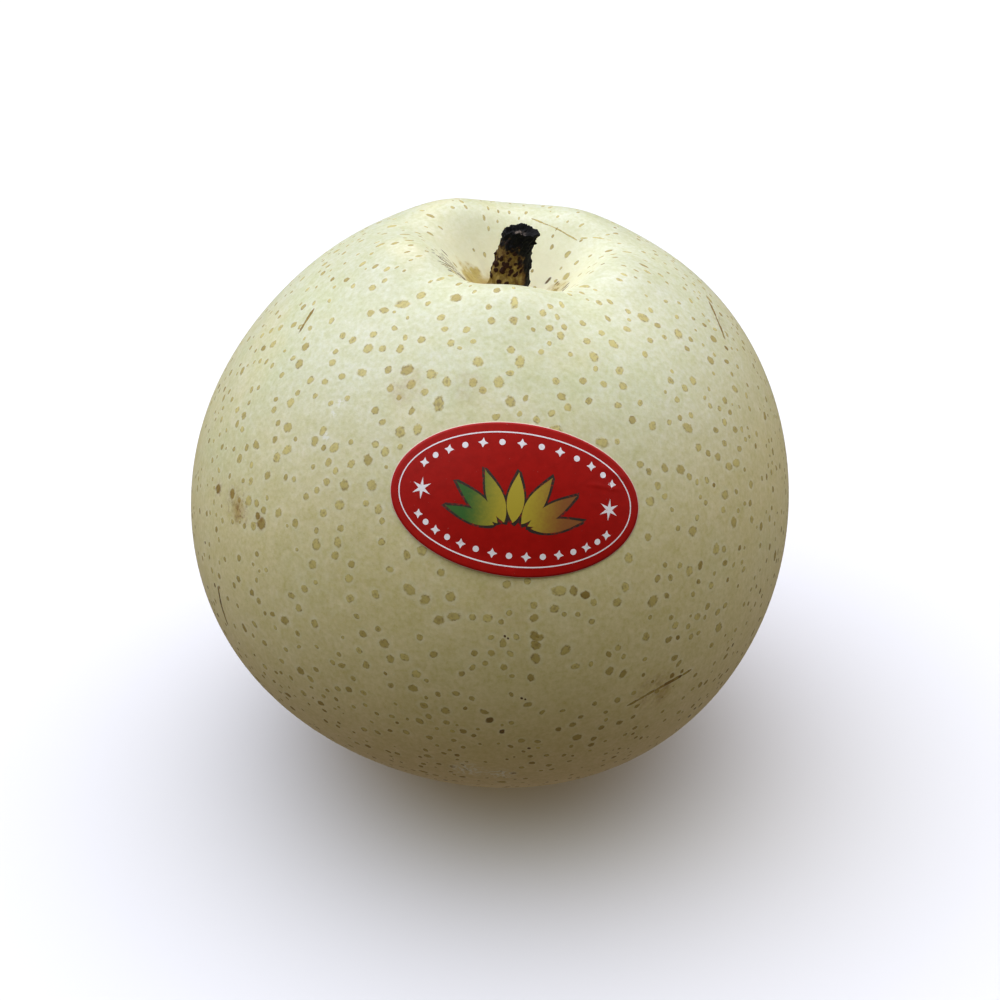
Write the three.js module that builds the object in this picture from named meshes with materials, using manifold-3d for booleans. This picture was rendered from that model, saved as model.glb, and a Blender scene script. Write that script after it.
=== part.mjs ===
// A round, pale-skinned nashi pear with the woody stub of its stalk and an oval paper sticker.
// Millimetres. +Z points up along the stalk, -Y is the side with the sticker, and the origin lies
// under the middle of the fruit, on the ground that it rests on.
import * as THREE from "three";
import { mergeVertices } from "three/addons/utils/BufferGeometryUtils.js";
import Module from "manifold-3d";

const wasm = await Module();
wasm.setup();

// The body is two half eggs that meet at the equator: a broad crown and a slightly tapered base.
// Its lobes and slopes make it a little lopsided, fuller on the -X side.
const body = {
  equatorRadius: 43,
  crownHeight: 42.9,
  crownPower: 1.96,
  baseHeight: 37.9,
  basePower: 2.06,
  lobes: [
    { count: 1, swell: -0.042, turn: 0 },
    { count: 2, swell: -0.011, turn: 0 },
    { count: 3, swell: -0.0145, turn: -0.46 },
    { count: 5, swell: 0.005, turn: 0 },
  ],
  flankSlope: 0.008,
  crownSlope: -0.097,
  crownSlopeReach: 6,
};

// The cavity round the stalk has soft welts on its rim, one of them towards the sticker.
const cavity = {
  centre: [1.4, -0.5],
  radius: 9.4,
  depth: 11.8,
  power: 2.5,
  welts: 5,
  weltTurn: -Math.PI / 2,
  weltHeight: 0.58,
  weltRadius: 14.2,
  weltWidth: 7,
  weltFade: 6,
};

// The shallow basin of the fallen calyx, and the flat ring round it that the fruit rests on.
const basin = {
  centre: [0.2, -0.15],
  radius: 7.4,
  depth: 5.2,
  power: 2.2,
  restFlat: 0.4,
};

const skinMesh = { around: 64, down: 50, crowding: 0.45 };

// The stub leans to +X and a little back, and stands in the flesh with a thin gap round it.
const stalk = {
  foot: [-0.1, -0.45],
  lean: [0.26, 0.135],
  height: 9.9,
  footDepth: 2,
  gap: 0.3,
  waistRadius: 2.1,
  baseSwell: 0.9,
  baseFall: 4.8,
  tipSwell: 0.35,
  tipFall: 1.3,
  cutDish: 0.45,
  ovalness: 0.05,
  ridges: 3,
  ridgeDepth: 0.03,
  rings: 12,
  around: 24,
};

// The sticker's sizes are those of its flat oval before it is laid on the skin.
const label = {
  length: 31.9,
  width: 18.6,
  azimuth: THREE.MathUtils.degToRad(-87.9),
  polar: THREE.MathUtils.degToRad(57.7),
  tilt: THREE.MathUtils.degToRad(-7.8),
  standOff: 0.12,
  thickness: 0.3,
  rings: 7,
  around: 48,
};

const finishes = {
  skin: { color: 0xd9d6ae, roughness: 0.5, metalness: 0 },
  wood: { color: 0x5a4427, roughness: 0.85, metalness: 0 },
  paper: { color: 0xa3191b, roughness: 0.4, metalness: 0 },
};

// How much wider than round the body is at this azimuth.
function lobeFactor(azimuth, equatorShare) {
  const swell = body.lobes.reduce(
    (sum, lobe) => sum + lobe.swell * Math.cos(lobe.count * azimuth - lobe.turn),
    0,
  );
  return 1 + swell * equatorShare ** 2;
}

function cavityDrop(x, y) {
  const [dx, dy] = [x - cavity.centre[0], y - cavity.centre[1]];
  const distance = Math.hypot(dx, dy);
  const drop = cavity.depth * Math.exp(-((distance / cavity.radius) ** cavity.power));
  const weltShare = Math.exp(-(((distance - cavity.weltRadius) / cavity.weltWidth) ** 2));
  const fade = Math.min(1, distance / cavity.weltFade);
  const turn = cavity.welts * (Math.atan2(dy, dx) - cavity.weltTurn);
  return drop - cavity.weltHeight * Math.cos(turn) * weltShare * fade;
}

function basinLift(x, y) {
  const distance = Math.hypot(x - basin.centre[0], y - basin.centre[1]);
  return basin.depth * Math.exp(-((distance / basin.radius) ** basin.power));
}

// A point of the skin, from its azimuth about +Z and its polar angle down from the stalk.
function skinPoint(azimuth, polar) {
  const [share, rise] = [Math.sin(polar), Math.cos(polar)];
  const height = rise >= 0 ? body.crownHeight : body.baseHeight;
  const power = rise >= 0 ? body.crownPower : body.basePower;
  const reach =
    ((share / body.equatorRadius) ** power + (Math.abs(rise) / height) ** power) ** (-1 / power);
  const out = reach * share * lobeFactor(azimuth, share);
  const [x, y] = [out * Math.cos(azimuth), out * Math.sin(azimuth)];
  let z = reach * rise + body.flankSlope * x * share ** 2;
  z += body.crownSlope * x * Math.max(rise, 0) ** body.crownSlopeReach;
  z += rise >= 0 ? -cavityDrop(x, y) : basinLift(x, y);
  return new THREE.Vector3(x, y, z);
}

function moveVertices(geometry, place) {
  const position = geometry.getAttribute("position");
  const vertex = new THREE.Vector3();
  for (let i = 0; i < position.count; i++) {
    const moved = place(vertex.fromBufferAttribute(position, i), i);
    position.setXYZ(i, moved.x, moved.y, moved.z);
  }
  geometry.computeVertexNormals();
  return geometry;
}

// A unit sphere drawn out to the skin, with rows crowded towards the cavity and the basin,
// and its lowest points pressed flat where it rests.
function fruitGeometry() {
  const sphere = new THREE.SphereGeometry(1, skinMesh.around, skinMesh.down);
  moveVertices(sphere, (v) => {
    const even = Math.acos(THREE.MathUtils.clamp(v.y, -1, 1));
    const polar = even - (skinMesh.crowding / 2) * Math.sin(2 * even);
    return skinPoint(Math.atan2(-v.z, v.x), polar);
  });
  sphere.computeBoundingBox();
  const restHeight = sphere.boundingBox.min.z + basin.restFlat;
  return moveVertices(sphere, (v) => v.setZ(Math.max(v.z, restHeight)));
}

function stalkRadius(height) {
  const base = stalk.baseSwell * Math.exp(-((height / stalk.baseFall) ** 2));
  const tip = stalk.tipSwell * Math.exp(-(((stalk.height - height) / stalk.tipFall) ** 2));
  return stalk.waistRadius + base + tip;
}

// A turned stub, from its foot in the flesh up to a dished cut, made slightly oval, ridged and leaning.
// With a clearance it is the room that the stub takes in the fruit.
function stalkGeometry(clearance) {
  const floor = skinPoint(0, 0).z;
  const foot = -stalk.footDepth - clearance;
  const profile = [new THREE.Vector2(0, foot)];
  for (let i = 0; i <= stalk.rings; i++) {
    const height = foot + ((stalk.height - foot) * i) / stalk.rings;
    profile.push(new THREE.Vector2(stalkRadius(height) + clearance, height));
  }
  profile.push(new THREE.Vector2(stalk.waistRadius / 2, stalk.height - stalk.cutDish));
  profile.push(new THREE.Vector2(0, stalk.height - stalk.cutDish));
  const turned = new THREE.LatheGeometry(profile, stalk.around);
  return moveVertices(turned, (v) => {
    const azimuth = Math.atan2(-v.z, v.x);
    const oval = stalk.ovalness * Math.cos(2 * azimuth);
    const ridge = stalk.ridgeDepth * Math.cos(stalk.ridges * azimuth);
    const radius = Math.hypot(v.x, v.z) * (1 + oval + ridge);
    return new THREE.Vector3(
      stalk.foot[0] + stalk.lean[0] * v.y + radius * Math.cos(azimuth),
      stalk.foot[1] + stalk.lean[1] * v.y + radius * Math.sin(azimuth),
      floor + v.y,
    );
  });
}

// Where a point of the flat sticker lands on the skin, lifted off it along the skin's own normal.
function stickerPoint(along, across, lift) {
  const middle = new THREE.Vector3().setFromSphericalCoords(1, label.polar, 0);
  const outward = new THREE.Vector3(middle.z, 0, middle.y).applyAxisAngle(
    new THREE.Vector3(0, 0, 1),
    label.azimuth,
  );
  const level = new THREE.Vector3(0, 0, 1).cross(outward).normalize();
  const upward = outward.clone().cross(level);
  const reach = skinPoint(label.azimuth, label.polar).length();
  const aim = outward
    .clone()
    .multiplyScalar(reach)
    .addScaledVector(level, along * Math.cos(label.tilt) - across * Math.sin(label.tilt))
    .addScaledVector(upward, along * Math.sin(label.tilt) + across * Math.cos(label.tilt));
  const azimuth = Math.atan2(aim.y, aim.x);
  const polar = Math.acos(aim.z / aim.length());
  const step = 1e-3;
  const here = skinPoint(azimuth, polar);
  const down = skinPoint(azimuth, polar + step).sub(here);
  const round = skinPoint(azimuth + step, polar).sub(here);
  return here.addScaledVector(down.cross(round).normalize(), lift);
}

// A thin disc, turned from its section, stretched to the oval and laid on the skin.
function labelGeometry() {
  const profile = [];
  for (let i = 0; i <= label.rings; i++) {
    profile.push(new THREE.Vector2(i / label.rings, 0));
  }
  for (let i = label.rings; i >= 0; i--) {
    profile.push(new THREE.Vector2(i / label.rings, label.thickness));
  }
  const disc = new THREE.LatheGeometry(profile, label.around);
  return moveVertices(disc, (v) =>
    stickerPoint((v.x * label.length) / 2, (-v.z * label.width) / 2, label.standOff + v.y),
  );
}

function toSolid(geometry) {
  const bare = geometry.clone();
  bare.deleteAttribute("normal");
  bare.deleteAttribute("uv");
  const merged = mergeVertices(bare, 1e-4);
  return new wasm.Manifold(
    new wasm.Mesh({
      numProp: 3,
      vertProperties: merged.getAttribute("position").array,
      triVerts: new Uint32Array(merged.index.array),
    }),
  );
}

function toGeometry(solid) {
  const mesh = solid.getMesh();
  const geometry = new THREE.BufferGeometry();
  geometry.setAttribute("position", new THREE.BufferAttribute(mesh.vertProperties, 3));
  geometry.setIndex(new THREE.BufferAttribute(mesh.triVerts, 1));
  geometry.computeVertexNormals();
  return geometry;
}

function makeMesh(name, geometry, finish) {
  const mesh = new THREE.Mesh(geometry, new THREE.MeshStandardMaterial(finish));
  mesh.name = name;
  return mesh;
}

// The fruit is one piece, with a socket that the foot of the stalk stands in.
function makeFruit() {
  const socket = toSolid(stalkGeometry(stalk.gap));
  const flesh = toSolid(fruitGeometry()).subtract(socket);
  return makeMesh("fruit", toGeometry(flesh), finishes.skin);
}

function makeStalk() {
  return makeMesh("stalk", stalkGeometry(0), finishes.wood);
}

function makeLabel() {
  return makeMesh("label", labelGeometry(), finishes.paper);
}

const pear = new THREE.Group();
pear.add(makeFruit(), makeStalk(), makeLabel());

// The whole pear is set down on the ground, with its middle over the origin.
const extent = new THREE.Box3().setFromObject(pear);
const middle = extent.getCenter(new THREE.Vector3());
pear.position.set(-middle.x, -middle.y, -extent.min.z);

export default pear;
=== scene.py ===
import math
import random

import bpy
import numpy as np
from mathutils import Matrix, Vector, kdtree, noise


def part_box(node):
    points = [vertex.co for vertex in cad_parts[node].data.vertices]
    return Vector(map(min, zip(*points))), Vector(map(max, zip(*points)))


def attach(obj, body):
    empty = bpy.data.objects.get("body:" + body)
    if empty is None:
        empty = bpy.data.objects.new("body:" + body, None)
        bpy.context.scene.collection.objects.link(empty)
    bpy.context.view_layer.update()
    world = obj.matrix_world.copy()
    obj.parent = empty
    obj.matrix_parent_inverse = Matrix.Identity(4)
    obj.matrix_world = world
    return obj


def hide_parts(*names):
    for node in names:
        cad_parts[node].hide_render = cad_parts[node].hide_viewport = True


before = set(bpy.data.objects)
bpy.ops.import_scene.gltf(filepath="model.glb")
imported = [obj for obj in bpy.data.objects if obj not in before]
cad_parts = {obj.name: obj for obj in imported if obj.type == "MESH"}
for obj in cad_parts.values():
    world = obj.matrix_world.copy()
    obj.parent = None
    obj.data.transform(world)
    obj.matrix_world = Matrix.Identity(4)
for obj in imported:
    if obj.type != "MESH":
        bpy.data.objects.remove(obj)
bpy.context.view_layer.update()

fruitLow, fruitHigh = (np.array(corner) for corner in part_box("fruit"))
random.seed(41)
rng = np.random.default_rng(41)

# the fruit's form, all lengths in equator radii: two half eggs, a stem cavity with welts, a calyx basin
fruitForm = {
    "widthInRadii": 1.978,
    "crownHeight": 0.9977, "crownPower": 1.96,
    "baseHeight": 0.8814, "basePower": 2.06,
    "lobes": [(1, -0.042, 0.0), (2, -0.011, 0.0), (3, -0.0145, -0.46), (5, 0.005, 0.0)],  # count, swell, turn
    "flankSlope": 0.008, "crownSlope": -0.097, "crownSlopeReach": 6,
    "cavityCentre": (0.0326, -0.0116), "cavityRadius": 0.2186, "cavityDepth": 0.2744, "cavityPower": 2.5,
    "welts": 5, "weltHeight": 0.0135, "weltRadius": 0.3302, "weltWidth": 0.1628, "weltFade": 0.1395,
    "basinCentre": (0.0047, -0.0035), "basinRadius": 0.1721, "basinDepth": 0.1209, "basinPower": 2.2,
    "restFlat": 0.0093,
}
equator = (fruitHigh[0] - fruitLow[0]) / fruitForm["widthInRadii"]
milli = 0.001  # a millimetre, in metres
mm = milli / equator  # a millimetre, in equator radii


# shape helpers

def cavityDrop(x, y):
    form = fruitForm
    dx, dy = x - form["cavityCentre"][0], y - form["cavityCentre"][1]
    distance = np.hypot(dx, dy)
    drop = form["cavityDepth"] * np.exp(-(distance / form["cavityRadius"]) ** form["cavityPower"])
    share = np.exp(-((distance - form["weltRadius"]) / form["weltWidth"]) ** 2)
    fade = np.minimum(1.0, distance / form["weltFade"])
    turn = form["welts"] * (np.arctan2(dy, dx) + math.pi / 2)
    return drop - form["weltHeight"] * np.cos(turn) * share * fade


def basinLift(x, y):
    form = fruitForm
    distance = np.hypot(x - form["basinCentre"][0], y - form["basinCentre"][1])
    return form["basinDepth"] * np.exp(-(distance / form["basinRadius"]) ** form["basinPower"])


# small ripples that no two fruits share, as sums of slanted waves
ripples = {"count": 14, "longest": 2.2, "shortest": 9.0, "height": 0.0011}
rippleWaves = [
    (Vector(rng.normal(size=3)).normalized() * rng.uniform(ripples["longest"], ripples["shortest"]),
     rng.uniform(0, 2 * math.pi))
    for _ in range(ripples["count"])
]


def rippleHeight(x, y, z):
    total = 0.0
    for wave, phase in rippleWaves:
        total = total + np.sin(wave[0] * x + wave[1] * y + wave[2] * z + phase)
    return ripples["height"] * total / math.sqrt(ripples["count"])


# the skin's points in equator radii, from azimuth and polar angle, which may be whole arrays
def skinPoint(azimuth, polar):
    form = fruitForm
    share, rise = np.sin(polar), np.cos(polar)
    height = np.where(rise >= 0, form["crownHeight"], form["baseHeight"])
    power = np.where(rise >= 0, form["crownPower"], form["basePower"])
    reach = (np.abs(share) ** power + (np.abs(rise) / height) ** power) ** (-1 / power)
    swell = sum(size * np.cos(count * azimuth - turn) for count, size, turn in form["lobes"])
    out = reach * share * (1 + swell * share ** 2)
    x, y = out * np.cos(azimuth), out * np.sin(azimuth)
    z = reach * rise + form["flankSlope"] * x * share ** 2
    z = z + form["crownSlope"] * x * np.maximum(rise, 0) ** form["crownSlopeReach"]
    z = z + np.where(rise >= 0, -cavityDrop(x, y), basinLift(x, y))
    lift = 1 + rippleHeight(x, y, z)
    return x * lift, y * lift, z * lift


skinMesh = {"around": 360, "down": 240, "crowding": 0.45}


def skinGrid():
    rows = np.linspace(0, math.pi, skinMesh["down"] + 1)[1:-1]
    polar = rows - skinMesh["crowding"] / 2 * np.sin(2 * rows)
    azimuth = np.arange(skinMesh["around"]) * 2 * math.pi / skinMesh["around"]
    return np.meshgrid(azimuth, polar)


# where the formula's own middle lies in the frame, found once from the whole skin
gridAzimuth, gridPolar = skinGrid()
rawX, rawY, rawZ = skinPoint(gridAzimuth, gridPolar)
unitMetres = (fruitHigh[0] - fruitLow[0]) / (rawX.max() - rawX.min())
restHeight = rawZ.min() + fruitForm["restFlat"]
formMiddle = np.array([(rawX.max() + rawX.min()) / 2, (rawY.max() + rawY.min()) / 2, restHeight])


def toFrame(x, y, z):
    points = np.stack(np.broadcast_arrays(x, y, z), axis=-1)
    return (points - formMiddle) * unitMetres


def skinVector(azimuth, polar):
    return Vector(toFrame(*skinPoint(np.float64(azimuth), np.float64(polar))))


def skinNormal(azimuth, polar, step=0.002):
    here = skinVector(azimuth, polar)
    down = skinVector(azimuth, polar + step) - here
    across = skinVector(azimuth + step, polar) - here
    return down.cross(across).normalized()


def meshObject(name, points, faces, smooth=True):
    mesh = bpy.data.meshes.new(name)
    mesh.from_pydata([tuple(p) for p in points], [], faces)
    mesh.validate()
    mesh.polygons.foreach_set("use_smooth", [smooth] * len(mesh.polygons))
    piece = bpy.data.objects.new(name, mesh)
    bpy.context.scene.collection.objects.link(piece)
    return piece


def addAttribute(mesh, name, kind, domain, values):
    layer = mesh.attributes.new(name, kind, domain)
    key = "vector" if kind == "FLOAT_VECTOR" else "value"
    layer.data.foreach_set(key, np.asarray(values, dtype=np.float32).ravel())


def smoothStep(low, high, value):
    t = np.clip((value - low) / (high - low), 0, 1)
    return t * t * (3 - 2 * t)


def wrapAngle(angle):
    return (angle + math.pi) % (2 * math.pi) - math.pi


def outwardWay(azimuth, polar):
    share = math.sin(polar)
    return Vector((share * math.cos(azimuth), share * math.sin(azimuth), math.cos(polar)))


# quads between closed rings of points, the last ring joined to the first where the section closes too
def ringFaces(rings, around, start=0, closed=False, flip=False):
    faces = []
    for row in range(rings if closed else rings - 1):
        for column in range(around):
            nextColumn, nextRow = (column + 1) % around, (row + 1) % rings
            a, b = start + row * around + column, start + row * around + nextColumn
            c, d = start + nextRow * around + nextColumn, start + nextRow * around + column
            faces.append((a, d, c, b) if flip else (a, b, c, d))
    return faces


# triangles from one point to a ring
def fanFaces(tip, around, start=0, flip=False):
    fan = [(tip, start + column, start + (column + 1) % around) for column in range(around)]
    return [(a, c, b) for a, b, c in fan] if flip else fan


# the camera stands where the photograph was taken, in equator radii from the fruit's middle
cameraView = {"elevation": 31.94, "distance": 5.5, "focalPixels": 1640.6,
              "middlePixel": (504.4, 499.8), "frame": 1000}


def makeCamera():
    view = cameraView
    pitch = math.radians(view["elevation"])
    middle = Vector(toFrame(0.0, 0.0, 0.0))
    reach = view["distance"] * unitMetres
    eye = middle + Vector((0, -math.cos(pitch), math.sin(pitch))) * reach
    half = view["frame"] / 2
    aside = (half - view["middlePixel"][0]) / view["focalPixels"] * reach
    above = (view["middlePixel"][1] - half) / view["focalPixels"] * reach
    aim = middle + Vector((aside, 0, 0)) + Vector((0, math.sin(pitch), math.cos(pitch))) * above
    camera = bpy.data.objects.new("camera", bpy.data.cameras.new("camera"))
    bpy.context.scene.collection.objects.link(camera)
    camera.data.sensor_width = 36
    camera.data.lens = view["focalPixels"] / view["frame"] * camera.data.sensor_width
    camera.data.clip_start = 0.01
    camera.location = eye
    camera.rotation_euler = (aim - eye).to_track_quat("-Z", "Y").to_euler()
    bpy.context.scene.camera = camera


makeCamera()
print("camera placed")


# skin with its cavity folds and the scar of the calyx
cavityDetail = {"folds": 9, "foldDepth": 0.11, "foldRadius": 4.3, "foldWidth": 1.6, "collarHeight": 0.35,
                "collarWidth": 0.7}
calyxScar = {"ringRadius": 2.7, "ringWidth": 0.55, "ringHeight": 0.32, "pitRadius": 1.3, "pitDepth": 1.0,
             "sepals": 5, "sepalShare": 0.45, "roughness": 0.12}
stalkForm = {
    "foot": (-0.0075, -0.0105), "lean": (0.224, 0.135), "height": 9.9, "sunk": 1.4,
    "waist": 2.04, "baseSwell": 0.84, "baseFall": 4.7, "tipSwell": -0.06, "tipFall": 1.1,
    "ovalness": 0.05, "ridges": 3, "ridgeDepth": 0.03, "cutDish": 0.5,
    "around": 120, "rows": 150, "capRows": 26,
}


def addCavityDetail(x, y, z):
    d = cavityDetail
    dx, dy = x - stalkForm["foot"][0], y - stalkForm["foot"][1]
    distance, angle = np.hypot(dx, dy) / mm, np.arctan2(dy, dx)
    wobble = np.sin(2 * angle + 1.1) + 0.6 * np.sin(5 * angle + 0.4)
    band = np.exp(-((distance - d["foldRadius"]) / d["foldWidth"]) ** 2)
    folds = d["foldDepth"] * band * np.sin(d["folds"] * angle + wobble)
    footRadius = stalkForm["waist"] + stalkForm["baseSwell"]
    collar = d["collarHeight"] * np.exp(-((distance - footRadius) / d["collarWidth"]) ** 2)
    return z + (folds + collar) * mm


def addCalyxScar(x, y, z):
    d = calyxScar
    dx, dy = x - fruitForm["basinCentre"][0], y - fruitForm["basinCentre"][1]
    distance, angle = np.hypot(dx, dy) / mm, np.arctan2(dy, dx)
    ring = d["ringHeight"] * np.exp(-((distance - d["ringRadius"]) / d["ringWidth"]) ** 2)
    ring = ring * (1 + d["sepalShare"] * np.cos(d["sepals"] * angle + 0.7))
    pit = d["pitDepth"] * np.exp(-(distance / d["pitRadius"]) ** 4)
    grit = d["roughness"] * np.sin(distance * 7 + 3 * np.sin(angle * 3)) * np.sin(angle * 11)
    grit = grit * np.exp(-(distance / (d["ringRadius"] * 1.3)) ** 4)
    return z - (ring - pit + grit) * mm


def makeSkin():
    x, y, z = rawX, rawY, rawZ
    crown = gridPolar < math.pi / 2
    z = np.where(crown, addCavityDetail(x, y, z), addCalyxScar(x, y, z))
    z = np.maximum(z, restHeight)
    points = toFrame(x, y, z).reshape(-1, 3)
    down, around = gridPolar.shape
    ends = [toFrame(0.0, 0.0, float(row.mean())) for row in (z[0], z[-1])]
    points = np.vstack([points, *ends])
    top, bottom = down * around, down * around + 1
    faces = ringFaces(down, around, flip=True) + fanFaces(top, around)
    faces += fanFaces(bottom, around, start=(down - 1) * around, flip=True)
    piece = meshObject("pearSkin", points, faces)
    height = (points[:, 2] - points[:, 2].min()) / (points[:, 2].max() - points[:, 2].min())
    addAttribute(piece.data, "heightShare", "FLOAT", "POINT", height)
    return piece


skin = makeSkin()
print("skin built:", len(skin.data.polygons), "faces")

# lenticels: dots in the skin, largest where the fruit faces the sticker's side and up
# front, back and base are the middle radius there in mm, and clear is the bare skin between two dots
lenticelRule = {
    "tries": 7000, "front": 0.485, "back": 0.28, "base": 0.29, "spread": 0.27,
    "smallest": 0.12, "largest": 0.68, "clear": 0.5,
    "frontKeep": 0.60, "backKeep": 0.80, "baseKeep": 0.98, "frontAim": (-0.05, -0.78, 0.42),
    "frontFade": (0.25, 0.98), "underFade": (0.3, -0.6), "lowFade": (0.8, -0.3),
    "longer": 0.22, "rimAt": 0.3, "rimWidth": 0.13, "rimPolar": 0.8, "rimStretch": 2.6, "rimShrink": 0.35,
    # the aside and low terms are painted shade, darkening dots that face away from the front and dots low on
    # the fruit
    "dark": 0.02, "paintedShadeAside": 0.31, "paintedShadeLow": 0.38, "darkSpread": 0.19,
    "blackChance": 0.06, "blackMore": 0.2,
}


def chooseLenticels():
    rule = lenticelRule
    aim = Vector(rule["frontAim"]).normalized()
    found = []
    places = np.zeros((rule["tries"] * 2, 3))
    radii = np.zeros(rule["tries"] * 2)
    for index in range(rule["tries"]):
        azimuth = random.uniform(0, 2 * math.pi)
        polar = math.acos(random.uniform(-0.999, 0.999))
        front = float(smoothStep(*rule["frontFade"], outwardWay(azimuth, polar).dot(aim)))
        under = float(smoothStep(*rule["underFade"], math.cos(polar)))
        keep = rule["backKeep"] + (rule["frontKeep"] - rule["backKeep"]) * front
        keep += (rule["baseKeep"] - keep) * under
        chance, scatter = random.random(), random.gauss(0, rule["spread"])
        turn = random.uniform(0, math.pi)
        if chance > keep:
            continue
        middle = rule["back"] + (rule["front"] - rule["back"]) * front
        middle += (rule["base"] - middle) * under
        radius = min(rule["largest"], max(rule["smallest"], middle * math.exp(scatter))) * milli
        place = skinVector(azimuth, polar)
        count = len(found)
        gap = np.linalg.norm(places[:count] - np.array(place), axis=1) - radii[:count] - radius
        if count and gap.min() < rule["clear"] * milli:
            continue
        found.append(lenticelAt(azimuth, polar, place, radius, front, turn))
        places[count], radii[count] = place, radius
    return found


# one dot: its place, its stretched axis, and its look as radius, darkness and seed
def lenticelAt(azimuth, polar, place, radius, front, turn):
    rule = lenticelRule
    normal = skinNormal(azimuth, polar)
    downhill = (Vector((0, 0, -1)) + normal * normal.z).normalized()
    across = normal.cross(downhill)
    stretch = 1 + abs(random.gauss(0, rule["longer"]))
    axis = downhill * math.cos(turn) + across * math.sin(turn)
    cavityMiddle = Vector(toFrame(*fruitForm["cavityCentre"], 0.0))
    outward = Vector((place.x - cavityMiddle.x, place.y - cavityMiddle.y, 0))
    distance = outward.length / unitMetres
    rimShare = math.exp(-((distance - rule["rimAt"]) / rule["rimWidth"]) ** 2)
    if polar < rule["rimPolar"] and rimShare > 0.2:  # the rim's dots are drawn out towards the stalk
        axis = (outward - normal * outward.dot(normal)).normalized()
        stretch = 1 + rule["rimStretch"] * rimShare * random.uniform(0.15, 0.75)
        radius *= 1 - rule["rimShrink"] * rimShare
    low = float(smoothStep(*rule["lowFade"], math.cos(polar)))
    # painted shade: dots darken as they turn away from the front and lower down on the fruit
    darkness = rule["dark"] + rule["paintedShadeAside"] * (1 - front) + rule["paintedShadeLow"] * low
    darkness += random.gauss(0, rule["darkSpread"])
    if random.random() < rule["blackChance"] * low:
        darkness += rule["blackMore"]
    darkness = min(1, max(0, darkness))
    return place, axis * stretch, (radius, darkness, random.random())


# fine dark streaks drawn down into the left of the stem cavity, and a few on its right; sizes in mm
cavityStreaks = {
    "count": 150, "leftAngle": 207, "leftSpread": 9, "near": 5.7, "far": 11.5, "crowding": 1.6,
    "radius": 0.14, "thickNear": 1.5, "thinFar": 0.8, "stretch": (3.0, 12.0),
    "rightCount": 15, "rightAngle": 10, "rightSpread": 12, "rightReach": (5.2, 6.7), "rightStretch": 0.35,
}


def streakPlaces():
    d = cavityStreaks
    streaks = []
    for index in range(d["count"] + d["rightCount"]):
        right = index >= d["count"]
        side = "right" if right else "left"
        angle = math.radians(random.gauss(d[side + "Angle"], d[side + "Spread"]))
        outwardShare = random.random() ** d["crowding"]
        distance = d["near"] + (d["far"] - d["near"]) * outwardShare
        distance = (random.uniform(*d["rightReach"]) if right else distance) * mm
        x = fruitForm["cavityCentre"][0] + distance * math.cos(angle)
        y = fruitForm["cavityCentre"][1] + distance * math.sin(angle)
        azimuth = math.atan2(y, x)
        polar = polarFor(azimuth, math.hypot(x, y))
        place, normal = skinVector(azimuth, polar), skinNormal(azimuth, polar)
        outward = Vector((math.cos(angle), math.sin(angle), 0))
        axis = (outward - normal * outward.dot(normal)).normalized()
        stretch = random.uniform(*d["stretch"]) * (d["rightStretch"] if right else 1)
        thick = d["thickNear"] - d["thinFar"] * outwardShare
        radius = d["radius"] * random.uniform(0.6, 1.3) * thick * milli
        streaks.append((place, axis * stretch, (radius, random.uniform(0.85, 1.15), random.random())))
    return streaks


# scratches as chains of fine marks between places given by azimuth and polar angle in degrees; sizes in mm
scratches = [
    {"path": [(71.1, 15.9), (61.0, 15.2), (51.0, 15.0), (41.0, 15.1), (32.5, 15.6)],
     "radius": 0.12, "skip": 0.0, "dark": 0.25},
    {"path": [(32.5, 15.6), (20.4, 21.3)], "radius": 0.14, "skip": 0.6, "dark": 0.05},
    {"path": [(-2.9, 41.4), (-8.5, 43.2), (-13.4, 45.7)], "radius": 0.24, "skip": 0.25, "dark": 0.85},
    {"path": [(-148.8, 89.9), (-148.4, 92.6), (-147.4, 95.5)], "radius": 0.27, "skip": 0.0, "dark": 0.9},
    {"path": [(-68.6, 96.9), (-65.0, 95.8), (-60.9, 95.1), (-56.6, 94.8)],
     "radius": 0.21, "skip": 0.35, "dark": 0.6},
    {"path": [(-62.2, 95.2), (-56.8, 94.8)], "radius": 0.24, "skip": 0.3, "dark": 0.85},
    {"path": [(-159.2, 37.8), (-157.2, 40.5)], "radius": 0.25, "skip": 0.0, "dark": 0.85},
]
scratchMark = {"apart": 0.32, "stretch": (2.4, 4.4)}  # mm between two marks, and how drawn out each is
# single dots that stand out: azimuth, polar, radius in mm, darkness
oddDots = [
    (-110.8, 23.1, 0.78, 0.5), (-85.2, 79.8, 0.55, 0.6), (-85.0, 81.4, 0.6, 0.5), (-153.4, 71.5, 0.6, 0.85),
    (-148.0, 69.9, 0.62, 0.75), (-137.6, 71.0, 0.75, 0.7), (-139.0, 70.1, 0.5, 0.8),
    (-87.2, 91.7, 0.17, 1.2), (-86.6, 92.0, 0.14, 1.2), (-89.9, 79.8, 0.16, 1.2), (-89.4, 80.2, 0.12, 1.2),
]


def skinAtDegrees(azimuth, polar):
    return skinVector(math.radians(azimuth), math.radians(polar))


def scratchMarks():
    marks = []
    for scratch in scratches:
        for start, end in zip(scratch["path"], scratch["path"][1:]):
            run = skinAtDegrees(*end) - skinAtDegrees(*start)
            count = max(3, round(run.length / (scratchMark["apart"] * milli)))
            for index in range(count):
                if random.random() < scratch["skip"]:
                    continue
                share = (index + random.random()) / count
                azimuth, polar = (a + (b - a) * share for a, b in zip(start, end))
                radius = scratch["radius"] * random.uniform(0.6, 1.25) * milli
                look = (radius, scratch["dark"] * random.uniform(0.8, 1.15), random.random())
                axis = run.normalized() * random.uniform(*scratchMark["stretch"])
                marks.append((skinAtDegrees(azimuth, polar), axis, look))
    for azimuth, polar, radius, dark in oddDots:
        axis = Vector((0.3, 0.2, -1)).normalized() * 1.25
        marks.append((skinAtDegrees(azimuth, polar), axis, (radius * milli, dark, random.random())))
    return marks


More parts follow.
